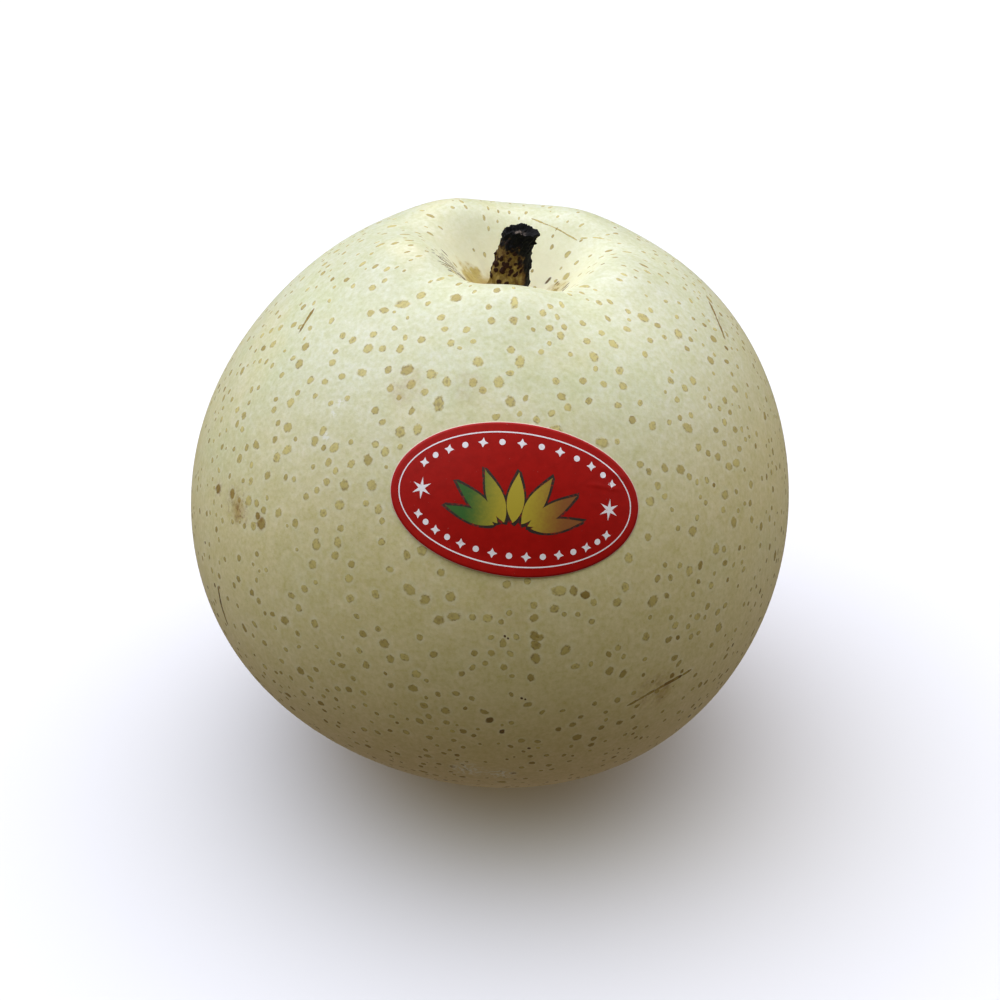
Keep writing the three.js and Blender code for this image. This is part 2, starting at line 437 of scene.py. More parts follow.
def polarFor(azimuth, distance):
    low, high = 0.0, 1.2
    for _ in range(30):
        polar = (low + high) / 2
        x, y, z = skinPoint(np.float64(azimuth), np.float64(polar))
        low, high = (polar, high) if math.hypot(x, y) < distance else (low, polar)
    return polar


# each face keeps the two dots that reach it most, so the shader can draw them sharp
def storeDots(piece, dots):
    tree = kdtree.KDTree(len(dots))
    for index, (place, axis, look) in enumerate(dots):
        tree.insert(place, index)
    tree.balance()
    reach = [look[0] * axis.length * 1.1 for place, axis, look in dots]
    polygons = piece.data.polygons
    centres = np.zeros(len(polygons) * 3)
    polygons.foreach_get("center", centres)
    columns = {name: np.zeros((len(polygons), 3)) for name in
               ("dotPlaceA", "dotAxisA", "dotLookA", "dotPlaceB", "dotAxisB", "dotLookB")}
    for face, centre in enumerate(centres.reshape(-1, 3)):
        near = tree.find_n(centre, 7)
        ranked = sorted(near, key=lambda item: item[2] - reach[item[1]])
        for letter, (place, index, distance) in zip("AB", ranked[:2]):
            columns["dotPlace" + letter][face] = dots[index][0]
            columns["dotAxis" + letter][face] = dots[index][1]
            columns["dotLook" + letter][face] = dots[index][2]
    for name, values in columns.items():
        addAttribute(piece.data, name, "FLOAT_VECTOR", "FACE", values)


dots = chooseLenticels()
dots += streakPlaces()
dots += scratchMarks()
storeDots(skin, dots)
print("dots placed:", len(dots))


# node helpers

class nodeBench:
    def __init__(self, tree):
        self.tree = tree

    def add(self, kind, inputs=None, **settings):
        node = self.tree.nodes.new(kind)
        for key, value in settings.items():
            setattr(node, key, value)
        for key, value in (inputs or {}).items():
            self.feed(node.inputs[key], value)
        return node

    def feed(self, socket, value):
        if isinstance(value, bpy.types.NodeSocket):
            self.tree.links.new(value, socket)
        else:
            socket.default_value = value

    def math(self, operation, a, b=0.0, c=0.0, clamp=False):
        node = self.add("ShaderNodeMath", {0: a, 1: b, 2: c}, operation=operation, use_clamp=clamp)
        return node.outputs[0]

    def times(self, a, b):
        return self.math("MULTIPLY", a, b)

    def swing(self, value, depth, middle=0.0):  # a noise of 0 to 1 made to swing round a middle
        return self.math("MULTIPLY_ADD", value, depth, middle - depth / 2)

    def vector(self, operation, a, b=None, scale=None):
        node = self.add("ShaderNodeVectorMath", {0: a}, operation=operation)
        if b is not None:
            self.feed(node.inputs[1], b)
        if scale is not None:
            self.feed(node.inputs["Scale"], scale)
        isNumber = operation in ("LENGTH", "DOT_PRODUCT", "DISTANCE")
        return node.outputs["Value" if isNumber else "Vector"]

    def step(self, low, high, value):
        node = self.add("ShaderNodeMapRange", {"Value": value, "From Min": low, "From Max": high},
                        interpolation_type="SMOOTHSTEP")
        return node.outputs["Result"]

    def fade(self, low, high, value):  # 1 up to low, 0 from high on
        return self.math("SUBTRACT", 1.0, self.step(low, high, value))

    def noise(self, vector, scale, detail=2.0, rough=0.5, distort=0.0):
        node = self.add("ShaderNodeTexNoise", {"Vector": vector, "Scale": scale, "Detail": detail,
                                               "Roughness": rough, "Distortion": distort})
        return node.outputs["Fac"]

    def mix(self, share, a, b, blend="MIX"):
        node = self.add("ShaderNodeMix", data_type="RGBA", blend_type=blend)
        self.feed(node.inputs["Factor"], share)
        self.feed(node.inputs[6], a)
        self.feed(node.inputs[7], b)
        return node.outputs[2]

    def attribute(self, name, output="Vector"):
        return self.add("ShaderNodeAttribute", attribute_name=name).outputs[output]

    def place(self):
        return self.add("ShaderNodeTexCoord").outputs["Object"]


def newMaterial(name):
    material = bpy.data.materials.new(name)
    material.use_nodes = True
    bench = nodeBench(material.node_tree)
    shader = material.node_tree.nodes["Principled BSDF"]
    return material, bench, shader


def colour(red, green, blue):
    return (red, green, blue, 1.0)


# a dot's masks from its stored place, axis and look
def dotMasks(bench, place, letter):
    centre = bench.attribute("dotPlace" + letter)
    axis = bench.attribute("dotAxis" + letter)
    look = bench.add("ShaderNodeSeparateXYZ", {0: bench.attribute("dotLook" + letter)})
    radius, darkness, seed = look.outputs[0], look.outputs[1], look.outputs[2]
    away = bench.vector("SUBTRACT", place, centre)
    stretch = bench.vector("LENGTH", axis)
    direction = bench.vector("NORMALIZE", axis)
    along = bench.vector("DOT_PRODUCT", away, direction)
    squeeze = bench.math("SUBTRACT", 1.0, bench.math("DIVIDE", 1.0, stretch))
    shift = bench.vector("SCALE", direction, scale=bench.times(along, squeeze))
    flat = bench.vector("LENGTH", bench.vector("SUBTRACT", away, shift))
    clean = bench.math("DIVIDE", flat, radius)
    lump = bench.noise(bench.vector("ADD", place, seed), 1900.0, 2.0, 0.6)
    ratio = bench.math("ADD", clean, bench.math("MULTIPLY_ADD", lump, 0.95, -0.47))
    fill = bench.fade(0.72, 1.16, ratio)
    return {
        "pad": bench.fade(0.7, 1.1, clean), "fill": fill, "core": bench.fade(0.1, 0.5, ratio),
        "edge": bench.times(bench.step(0.50, 0.86, ratio), fill), "halo": bench.fade(1.0, 2.0, ratio),
        "dark": darkness, "seed": seed,
    }


def patchMask(bench, place, middle, size):
    away = bench.vector("DISTANCE", place, tuple(middle))
    return bench.fade(size * 0.2, size, away)


# how far a place is from a middle, seen from above
def flatAway(bench, place, middle):
    away = bench.vector("SUBTRACT", place, tuple(Vector(toFrame(middle[0], middle[1], 0.0))))
    return bench.vector("MULTIPLY", away, (1, 1, 0))


# full within the nearer reach in mm, gone at the farther one
def reachMask(bench, distance, reach):
    return bench.fade(reach[0] * milli, reach[1] * milli, distance)


# scuffs and stains: azimuth and polar angle in degrees, reach in mm, how much haze, how much speckle
scuffs = [
    (-153.4, 71.5, 1.6, 0.3, 0.9), (-146.0, 70.6, 3.6, 0.5, 0.6), (-143.5, 71.6, 2.1, 0.7, 1.0),
    (-138.0, 70.9, 1.5, 0.3, 0.8), (-115.0, 41.5, 3.6, 0.38, 0.25), (-99.0, 40.0, 3.2, 0.28, 0.1),
    (-64.0, 95.8, 4.2, 0.6, 0.45), (-8.0, 43.5, 2.2, 0.25, 0.5), (-90.0, 74.0, 5.5, 0.16, 0.0),
]
# stained patches of the cavity floor: aside from the stalk's foot, full and faded reach in mm, strength
floorStains = [((-3.2, 1.2), 1.5, 3.0, 1.0), ((7.0, 1.1), 0.4, 2.3, 0.6)]
# pale flecks: the first three are painted glints of light on the wax, the last two a rubbed streak low down
glintsAndRubs = [(-129.5, 47.1, 1.0), (-130.0, 49.2, 0.8), (-129.2, 53.0, 0.9),
          (-97.0, 113.4, 3.2), (-90.5, 114.8, 2.6)]


skinLook = {
    # crown, flank and base are partly painted light and shade, as the ground's drift in skinMaterial
    # the first tint below is painted shade, darkening the very top of the crown
    "crownShade": colour(0.58, 0.60, 0.39), "crown": colour(0.715, 0.725, 0.48),
    "flank": colour(0.73, 0.655, 0.34), "base": colour(0.67, 0.565, 0.285),
    # the cavity tint is painted light, paling the stem cavity to lift its shade
    # the milk tint is the wax's milky speckle and also the tint of painted glints
    "cavity": colour(0.93, 0.905, 0.62), "milkAndGlint": colour(0.86, 0.86, 0.74),
    "greenBlush": colour(0.66, 0.70, 0.40), "yellowBlush": colour(0.80, 0.71, 0.37),
    "dotPale": colour(0.63, 0.53, 0.145), "dotBrown": colour(0.25, 0.155, 0.015),
    "dotEdge": colour(0.19, 0.115, 0.017), "dotBlack": colour(0.10, 0.055, 0.02),
    "haloTint": colour(0.85, 0.85, 0.68), "golden": colour(0.62, 0.49, 0.14),
    "russet": colour(0.42, 0.265, 0.05), "russetDark": colour(0.24, 0.12, 0.03),
    "scar": colour(0.17, 0.10, 0.045),
    "greenShare": 0.42, "yellowShare": 0.34, "milkShare": 0.35, "haloShare": 0.22, "fleckShare": 0.28,
    "mottling": [(330.0, 0.24, 0.6, 0.0), (1600.0, 0.44, 1.05, 0.5)],  # scale, depth, depth in blue, shift
    "roughness": 0.44, "dotRoughness": 0.68,
    "peel": 0.4, "wave": 0.9, "dotRelief": 0.16, "reliefDepth": 0.00014,
}
# full and faded reach in mm round the middles of the cavity, the stalk's foot and the calyx; round the cavity
# it is the reach of its painted light
stainReach = {"cavity": (4.0, 14.0), "footWide": (3.2, 6.2), "footTight": (2.9, 4.4),
              "scar": (2.8, 4.8), "scarRing": (4.0, 10.5)}


def skinMaterial():
    look = skinLook
    material, bench, shader = newMaterial("pearSkinWax")
    place = bench.place()
    height = bench.attribute("heightShare", "Fac")

    # the ground colour drifts from pale crown to warmer base, with soft blushes; the drift is partly the
    # fruit's own yellower base and partly painted light and shade, a bluer crown for its strong light and a
    # warmer, darker base for the warm shade below
    level = bench.math("ADD", height, bench.swing(bench.noise(place, 26.0, 2.0), 0.22))
    ground = bench.mix(bench.step(0.12, 0.55, level), look["base"], look["flank"])
    ground = bench.mix(bench.step(0.62, 0.92, level), ground, look["crown"])
    # painted shade: the very top of the crown is darkened, toning down its brightest light
    ground = bench.mix(bench.times(bench.step(0.90, 0.99, height), 0.5), ground, look["crownShade"])
    blush = bench.step(0.48, 0.72, bench.noise(place, 48.0, 3.0, 0.55))
    blush = bench.times(blush, bench.step(0.4, 0.72, height))
    ground = bench.mix(bench.times(blush, look["greenShare"]), ground, look["greenBlush"])
    warm = bench.step(0.5, 0.74, bench.noise(bench.vector("ADD", place, (0.7, 0.2, 0.4)), 62.0, 3.0, 0.6))
    ground = bench.mix(bench.times(warm, look["yellowShare"]), ground, look["yellowBlush"])
    # cloudy mottling a few millimetres wide, then grain of half a millimetre, most of it in the yellow
    for scale, depth, yellow, shift in look["mottling"]:
        spread = bench.noise(bench.vector("ADD", place, (shift, 0.3, 0.1)), scale, 3.0, 0.62)
        both, blue = bench.swing(spread, depth, 1.0), bench.swing(spread, yellow, 1.0)
        tone = bench.add("ShaderNodeCombineColor", {0: both, 1: both, 2: blue}).outputs[0]
        ground = bench.mix(1.0, ground, tone, "MULTIPLY")
    milky = bench.step(0.66, 0.78, bench.noise(place, 2600.0, 2.0, 0.6))
    ground = bench.mix(bench.times(milky, look["milkShare"]), ground, look["milkAndGlint"])

    # painted light: the cavity is paled towards cream to lift the shade inside it
    high = bench.step(0.5, 0.6, height)
    inward = bench.vector("LENGTH", flatAway(bench, place, fruitForm["cavityCentre"]))
    cavityLightShare = bench.times(reachMask(bench, inward, stainReach["cavity"]), high)
    ground = bench.mix(cavityLightShare, ground, look["cavity"])

    # both nearest dots, each on a paler ring, with a broken dark edge and a few with a brown core
    masks = [dotMasks(bench, place, letter) for letter in "AB"]
    for dot in masks:
        ground = bench.mix(bench.times(dot["halo"], look["haloShare"]), ground, look["haloTint"])
    mottle = bench.step(0.45, 0.7, bench.noise(place, 2800.0, 1.0, 0.5))
    for dot in masks:
        tone = bench.mix(dot["dark"], look["dotPale"], look["dotBrown"])
        tone = bench.mix(bench.step(0.82, 1.05, dot["dark"]), tone, look["dotBlack"])
        broken = bench.math("MULTIPLY_ADD", mottle, 0.8, 0.2)
        tone = bench.mix(bench.times(dot["edge"], broken), tone, look["dotEdge"])
        tone = bench.mix(bench.times(mottle, look["fleckShare"]), tone, look["dotEdge"])
        hasCore = bench.times(dot["core"], bench.step(0.78, 0.82, dot["seed"]))
        tone = bench.mix(bench.times(hasCore, 0.6), tone, look["dotBrown"])
        strength = bench.math("MULTIPLY_ADD", dot["dark"], 0.2, 0.78, clamp=True)
        ground = bench.mix(bench.times(dot["fill"], strength), ground, tone)
    dotShare = bench.math("MAXIMUM", masks[0]["fill"], masks[1]["fill"])
    dotPads = bench.math("MAXIMUM", masks[0]["pad"], masks[1]["pad"])

    # scuffs, then painted glints and a rubbed streak
    speckle = bench.step(0.44, 0.72, bench.noise(place, 1300.0, 3.0, 0.65))
    cloud = bench.step(0.3, 0.75, bench.noise(place, 420.0, 3.0, 0.6))
    for azimuth, polar, size, haze, speckled in scuffs:
        mask = patchMask(bench, place, skinAtDegrees(azimuth, polar), size * milli)
        ground = bench.mix(bench.times(bench.times(mask, cloud), haze), ground, look["russet"])
        ground = bench.mix(bench.times(bench.times(mask, speckle), speckled), ground, look["russetDark"])
    # painted highlights: pale glints mixed into the colour, with the last two places a rubbed streak
    for azimuth, polar, size in glintsAndRubs:
        mask = patchMask(bench, place, skinAtDegrees(azimuth, polar), size * milli)
        glintAndRubShare = bench.times(mask, bench.step(0.46, 0.58, bench.noise(place, 1700.0, 2.0, 0.6)))
        ground = bench.mix(bench.times(glintAndRubShare, 0.8), ground, look["milkAndGlint"])

    # the cavity floor: golden with brown wisps beside the stalk, brown close round its foot
    flat = flatAway(bench, place, stalkForm["foot"])
    distance = bench.vector("LENGTH", flat)
    wisps = bench.vector("MULTIPLY", place, (420.0, 1500.0, 1500.0))
    streak = bench.step(0.46, 0.64, bench.noise(wisps, 1.0, 3.0, 0.6, 0.8))
    raggedFloor = bench.swing(bench.noise(place, 700.0, 2.0), 3.0 * milli)
    for aside, inner, outer, strength in floorStains:
        away = bench.vector("DISTANCE", flat, (aside[0] * milli, aside[1] * milli, 0.0))
        stained = reachMask(bench, bench.math("ADD", away, raggedFloor), (inner, outer))
        stained = bench.times(stained, high)
        ground = bench.mix(bench.times(stained, strength), ground, look["golden"])
        wispy = bench.times(bench.times(stained, streak), strength * 0.9)
        ground = bench.mix(wispy, ground, look["russet"])
    wide = reachMask(bench, bench.math("ADD", distance, raggedFloor), stainReach["footWide"])
    ground = bench.mix(bench.times(bench.times(wide, high), 0.4), ground, look["golden"])
    tight = reachMask(bench, distance, stainReach["footTight"])
    ground = bench.mix(bench.times(bench.times(tight, high), 0.6), ground, look["russet"])

    # the corky scar under the fruit
    low = bench.fade(0.2, 0.3, height)
    raggedScar = bench.swing(bench.noise(place, 420.0, 3.0, 0.6), 4.0 * milli)
    fromEye = bench.vector("LENGTH", flatAway(bench, place, fruitForm["basinCentre"]))
    fromEye = bench.math("ADD", fromEye, raggedScar)
    ring = bench.times(reachMask(bench, fromEye, stainReach["scarRing"]), low)
    ground = bench.mix(bench.times(ring, 0.4), ground, look["russet"])
    ground = bench.mix(bench.times(reachMask(bench, fromEye, stainReach["scar"]), low), ground, look["scar"])

    # satin wax, duller on the corky dots
    patchy = bench.swing(bench.noise(place, 120.0, 3.0, 0.6), 0.16, look["roughness"])
    grey = bench.add("ShaderNodeCombineColor", {0: patchy, 1: patchy, 2: patchy}).outputs[0]
    rough = bench.mix(dotShare, grey, colour(*[look["dotRoughness"]] * 3))
    roughness = bench.add("ShaderNodeSeparateColor", {0: rough}).outputs[0]
    wave = bench.times(bench.noise(place, 240.0, 2.0, 0.5), look["wave"])
    relief = bench.math("MULTIPLY_ADD", bench.noise(place, 1250.0, 3.0, 0.6), look["peel"], wave)
    relief = bench.math("ADD", relief, bench.times(dotPads, look["dotRelief"]))
    bump = bench.add("ShaderNodeBump", {"Height": relief, "Strength": 0.7, "Distance": look["reliefDepth"]})
    bench.feed(shader.inputs["Base Color"], ground)
    bench.feed(shader.inputs["Roughness"], roughness)
    bench.feed(shader.inputs["Normal"], bump.outputs[0])
    shader.inputs["Specular IOR Level"].default_value = 0.34
    shader.inputs["Subsurface Weight"].default_value = 0.12
    shader.inputs["Subsurface Radius"].default_value = (1.0, 0.75, 0.4)
    shader.inputs["Subsurface Scale"].default_value = 0.0022
    shader.inputs["Coat Weight"].default_value = 0.06
    shader.inputs["Coat Roughness"].default_value = 0.3
    return material


skin.data.materials.append(skinMaterial())
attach(skin, "root")
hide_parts("fruit")
print("skin dressed")


# stalk stub

def stalkRadius(height):
    d = stalkForm
    base = d["baseSwell"] * math.exp(-(max(height, 0) / d["baseFall"]) ** 2)
    tip = d["tipSwell"] * math.exp(-((d["height"] - height) / d["tipFall"]) ** 2)
    return d["waist"] + base + tip


# bark relief in mm: long ridges low down, crusty knobs higher up
stalkBark = {"ridge": 0.10, "lump": 0.22, "knob": 0.17, "lowKnobs": 55, "highKnobs": 150,
             "crust": 0.2, "crustFrom": 0.66, "crustFull": 0.86}
# the knobs on the sticker's side, then chance ones: azimuth, height, reach in mm, strength
barkKnobs = [
    (-0.65, 2.9, 0.46, 1.25), (-0.9, 2.3, 0.38, 1.25), (-1.1, 1.6, 0.4, 1.2), (-1.69, 3.8, 0.36, 1.25),
    (-1.3, 4.85, 0.36, 1.2), (-2.13, 3.9, 0.4, 1.1), (-1.71, 2.0, 0.36, 1.0), (-1.15, 3.2, 0.34, 0.7),
    (-2.09, 5.55, 0.4, 0.9), (-2.63, 5.95, 0.45, 1.2), (-2.53, 1.6, 0.34, 1.1), (-2.75, 4.3, 0.4, 1.0),
]


def chanceKnobs(count, *ranges):
    return [tuple(random.uniform(*ends) for ends in ranges) for _ in range(count)]


barkKnobs += chanceKnobs(stalkBark["lowKnobs"], (-0.4, math.pi + 0.4), (0.3, 5.2), (0.18, 0.42), (0.5, 1.25))
barkKnobs += chanceKnobs(stalkBark["highKnobs"], (0, 2 * math.pi), (4.9, 9.4), (0.16, 0.36), (0.6, 1.25))


def barkRelief(azimuth, height, radius):
    d = stalkBark
    around = Vector((math.cos(azimuth), math.sin(azimuth), 0)) * radius
    fine = Vector((around.x * 1.1, around.y * 1.1, height * 0.28))
    lump = Vector((around.x * 0.42, around.y * 0.42, height * 0.5))
    crust = Vector((around.x * 1.9, around.y * 1.9, height * 2.0))
    relief = d["ridge"] * noise.noise(fine * 1.3) + d["lump"] * noise.noise(lump)
    share = float(smoothStep(d["crustFrom"], d["crustFull"], height / stalkForm["height"]))
    relief += d["crust"] * share * noise.fractal(crust, 0.8, 2.1, 3)
    spot = 0.0
    for angle, level, size, strength in barkKnobs:
        apart = math.hypot(wrapAngle(azimuth - angle) * radius, (height - level) * 1.05) / size
        if apart < 2.2:
            spot = max(spot, min(1.0, strength + 0.2) * math.exp(-apart * apart))
            relief += d["knob"] * strength * math.exp(-apart * apart)
    return relief, spot


def stalkPoint(azimuth, height, radius):
    d = stalkForm
    floor = float(skinPoint(np.float64(0), np.float64(0))[2])
    oval = d["ovalness"] * math.cos(2 * azimuth) + d["ridgeDepth"] * math.cos(d["ridges"] * azimuth)
    out = radius * (1 + oval) * mm
    x = d["foot"][0] + d["lean"][0] * height * mm + out * math.cos(azimuth)
    y = d["foot"][1] + d["lean"][1] * height * mm + out * math.sin(azimuth)
    return toFrame(x, y, floor + height * mm)


# the cut: a ragged lip, a spur that sticks out to the right, and a dished grey face
stalkCut = {"lipRag": 0.34, "spurAngle": -0.15, "spurWidth": 0.5, "spurOut": 0.6, "spurFall": 0.5,
            "frontRise": 0.02, "saddle": 0.27, "faceGrain": 0.3, "faceReach": 0.98,
            "rimShare": 1.05, "middleShare": 1.25}  # the shares tell the shader where the cut face is


def lipHeight(azimuth):
    d = stalkCut
    ragged = noise.fractal(Vector((math.cos(azimuth) * 2.6, math.sin(azimuth) * 2.6, 4.1)), 0.8, 2.2, 3)
    saddle = d["saddle"] * math.cos(2 * azimuth + 0.35)
    return stalkForm["height"] + d["lipRag"] * ragged - d["frontRise"] * math.sin(azimuth) - saddle


def spurReach(azimuth):
    turn = wrapAngle(azimuth - stalkCut["spurAngle"])
    return stalkCut["spurOut"] * math.exp(-(turn / stalkCut["spurWidth"]) ** 2)


def makeStalk():
    d = stalkForm
    points, shares, spots = [], [], []
    around = d["around"]
    angles = [2 * math.pi * i / around for i in range(around)]
    for row in range(d["rows"] + 1):
        for azimuth in angles:
            top = lipHeight(azimuth)
            height = -d["sunk"] + (top + d["sunk"]) * row / d["rows"]
            radius = stalkRadius(height)
            radius += spurReach(azimuth) * math.exp(-((top - height) / stalkCut["spurFall"]) ** 2)
            relief, spot = barkRelief(azimuth, height, radius)
            points.append(stalkPoint(azimuth, height, radius + relief))
            shares.append(height / d["height"])
            spots.append(spot)
    for ring in range(1, d["capRows"]):
        inward = 1 - ring / d["capRows"]
        for azimuth in angles:
            top = lipHeight(azimuth)
            rim = stalkRadius(top) * stalkCut["faceReach"]
            dish = d["cutDish"] * float(smoothStep(1.0, 0.72, inward))
            spot = Vector((math.cos(azimuth) * inward * 2.4, math.sin(azimuth) * inward * 2.4, 0))
            grain = stalkCut["faceGrain"] * noise.fractal(spot * 1.8, 0.7, 2.1, 3)
            level = d["height"] + (top - d["height"]) * inward ** 3 - dish + grain * (1 - inward ** 6)
            reach = rim * inward + spurReach(azimuth) * inward ** 5
            points.append(stalkPoint(azimuth, level, reach))
            shares.append(stalkCut["middleShare"] + (stalkCut["rimShare"] - stalkCut["middleShare"]) * inward)
            spots.append(0.0)
    rings = d["rows"] + d["capRows"]
    first, last = len(points), len(points) + 1
    points.append(stalkPoint(0.0, -d["sunk"], 0.0))
    points.append(stalkPoint(0.0, d["height"] - d["cutDish"], 0.0))
    shares += [0.0, stalkCut["middleShare"]]
    spots += [0.0, 0.0]
    faces = ringFaces(rings, around) + fanFaces(first, around, flip=True)
    faces += fanFaces(last, around, start=(rings - 1) * around)
    piece = meshObject("stalkStub", points, faces)
    addAttribute(piece.data, "stalkShare", "FLOAT", "POINT", shares)
    addAttribute(piece.data, "barkSpot", "FLOAT", "POINT", spots)
    return piece


stalkLook = {
    "tan": colour(0.19, 0.128, 0.027), "pale": colour(0.30, 0.22, 0.075),
    "brown": colour(0.06, 0.024, 0.006), "blotch": colour(0.022, 0.0065, 0.002),
    "char": colour(0.003, 0.003, 0.003), "ash": colour(0.21, 0.165, 0.13),
    "burnAcross": 0.07, "burnRight": 0.28, "burnRagged": 0.66, "charFrom": 0.70, "charFull": 0.86,
}


def stalkMaterial():
    look = stalkLook
    material, bench, shader = newMaterial("stalkBark")
    place = bench.place()
    share = bench.attribute("stalkShare", "Fac")
    fibre = bench.vector("MULTIPLY", place, (1.0, 1.0, 0.25))
    grain = bench.noise(fibre, 2600.0, 3.0, 0.65)
    wood = bench.mix(bench.step(0.4, 0.75, grain), look["tan"], look["pale"])

    # scorched and charred from the tip down, further down on the right
    offset = bench.vector("SUBTRACT", place, tuple(Vector(toFrame(*stalkForm["foot"], 0.0))))
    aside = bench.add("ShaderNodeSeparateXYZ", {0: offset}).outputs[0]
    lean = bench.times(share, stalkForm["lean"][0] * stalkForm["height"] * milli)
    across = bench.math("DIVIDE", bench.math("SUBTRACT", aside, lean), stalkForm["waist"] * milli)
    rightward = bench.math("MAXIMUM", across, 0.0)
    burn = bench.math("MULTIPLY_ADD", across, look["burnAcross"], share)
    burn = bench.math("MULTIPLY_ADD", bench.times(rightward, rightward), look["burnRight"], burn)
    ragged = bench.swing(bench.noise(place, 1100.0, 4.0, 0.7), look["burnRagged"])
    burn = bench.math("ADD", burn, ragged)
    patches = bench.math("MULTIPLY_ADD", bench.noise(place, 900.0, 3.0, 0.6), 0.7, bench.times(burn, 0.45))
    wood = bench.mix(bench.times(bench.step(0.46, 0.72, patches), 0.85), wood, look["brown"])
    spot = bench.math("ADD", bench.attribute("barkSpot", "Fac"), bench.times(ragged, 0.45))
    spot = bench.step(0.30, 0.52, spot)
    wood = bench.mix(spot, wood, look["blotch"])
    charShare = bench.step(look["charFrom"], look["charFull"], burn)
    wood = bench.mix(charShare, wood, look["char"])

    # the cut face: charred, with grey ash in its middle
    wood = bench.mix(bench.step(1.02, 1.04, share), wood, look["char"])
    ash = bench.step(0.46, 0.6, bench.noise(place, 1300.0, 3.0, 0.6))
    ash = bench.times(bench.step(1.12, 1.19, share), ash)
    wood = bench.mix(bench.times(ash, 0.8), wood, look["ash"])
    relief = bench.math("ADD", grain, spot)
    bump = bench.add("ShaderNodeBump", {"Height": relief, "Strength": 0.8, "Distance": 0.0001})
    bench.feed(shader.inputs["Base Color"], wood)
    bench.feed(shader.inputs["Roughness"], bench.math("MULTIPLY_ADD", charShare, -0.1, 0.72))
    bench.feed(shader.inputs["Normal"], bump.outputs[0])
    shader.inputs["Specular IOR Level"].default_value = 0.09
    return material


stalk = makeStalk()
stalk.data.materials.append(stalkMaterial())
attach(stalk, "root")
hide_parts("stalk")
print("stalk built")

# oval sticker, laid on the skin; lengths in mm before it is laid on
labelForm = {
    "length": 31.9, "width": 18.6, "azimuth": -87.9, "polar": 57.7, "tilt": -7.8,
    "under": 0.01, "thickness": 0.05, "rings": 30, "around": 240, "paleEdge": 0.007,
    "creases": [((1.0, -9.3), (0.7, -8.5), 0.26, 0.09), ((10.2, 5.2), (13.0, 4.2), 0.28, 0.09),
                ((9.0, 2.9), (12.4, 2.6), 0.22, 0.07),
                ((10.6, 3.9), (11.6, 1.2), 0.2, 0.05)],  # from, to, width, height
    "curlAngle": -1.95, "curlWidth": 0.75, "curl": 0.28,
}


def labelAxes():
    azimuth, polar = math.radians(labelForm["azimuth"]), math.radians(labelForm["polar"])
    outward = outwardWay(azimuth, polar)
    level = Vector((0, 0, 1)).cross(outward).normalized()
    reach = Vector(skinPoint(np.float64(azimuth), np.float64(polar))).length
    return outward, level, outward.cross(level), reach


labelOutward, labelLevel, labelUpward, labelReach = labelAxes()


def creaseHeight(along, across):
    total = 0.0
    for start, end, width, height in labelForm["creases"]:
        a, b, p = Vector(start), Vector(end), Vector((along, across))
        share = min(1, max(0, (p - a).dot(b - a) / (b - a).length_squared))
        total += height * math.exp(-((p - a - (b - a) * share).length / width) ** 2)
    d = labelForm
    reach = math.hypot(along / d["length"], across / d["width"]) * 2
    turn = wrapAngle(math.atan2(across / d["width"], along / d["length"]) - d["curlAngle"])
    curl = d["curl"] * float(smoothStep(0.72, 1.05, reach)) * math.exp(-(turn / d["curlWidth"]) ** 2)
    return total + curl


# a point of the flat sticker, in mm along and across it, laid on the skin
def labelPoint(along, across, lift):
    tilt = math.radians(labelForm["tilt"])
    sideways = (along * math.cos(tilt) - across * math.sin(tilt)) * mm
    upwards = (along * math.sin(tilt) + across * math.cos(tilt)) * mm
    aim = labelOutward * labelReach + labelLevel * sideways + labelUpward * upwards
    azimuth, polar = math.atan2(aim.y, aim.x), math.acos(aim.z / aim.length)
    return skinVector(azimuth, polar) + skinNormal(azimuth, polar) * lift * milli


def makeLabel():
    d = labelForm
    points, plane, rims = [], [], []
    rings, around = d["rings"], d["around"]
    levels = [(ring / rings, 0) for ring in range(1, rings + 1)]
    levels += [(ring / rings, 1) for ring in range(rings, 0, -1)]
    for share, upper in levels:
        for column in range(around):
            angle = 2 * math.pi * column / around
            along = share * d["length"] / 2 * math.cos(angle)
            across = share * d["width"] / 2 * math.sin(angle)
            lift = d["under"] + upper * d["thickness"] + creaseHeight(along, across)
            points.append(labelPoint(along, across, lift))
            plane.append((along, across, 0))
            rims.append(share + (0 if upper else 1))
    under, over = len(points), len(points) + 1
    points.append(labelPoint(0, 0, d["under"]))
    points.append(labelPoint(0, 0, d["under"] + d["thickness"]))
    plane += [(0, 0, 0), (0, 0, 0)]
    rims += [1, 0]
    faces = ringFaces(len(levels), around) + fanFaces(under, around, flip=True)
    faces += fanFaces(over, around, start=(len(levels) - 1) * around)
    piece = meshObject("stickerPaper", points, faces)
    for polygon in piece.data.polygons:
        polygon.use_smooth = not (rings - 1) * around <= polygon.index < rings * around  # a crisp cut edge
    addAttribute(piece.data, "labelPlane", "FLOAT_VECTOR", "POINT", plane)
    addAttribute(piece.data, "labelRim", "FLOAT", "POINT", rims)
    return piece


# printed shapes: flat outlines in mm on the sticker, each a thin film of ink that is rooted in the paper
inkForm = {"lift": 0.008, "film": 0.006, "root": 0.02, "rings": (1.0, 0.66, 0.33)}


def paperTop():
    return labelForm["under"] + labelForm["thickness"]


def addInkPoint(points, plane, spot, lift):
    points.append(labelPoint(*spot, lift + creaseHeight(*spot)))
    plane.append((*spot, 0))


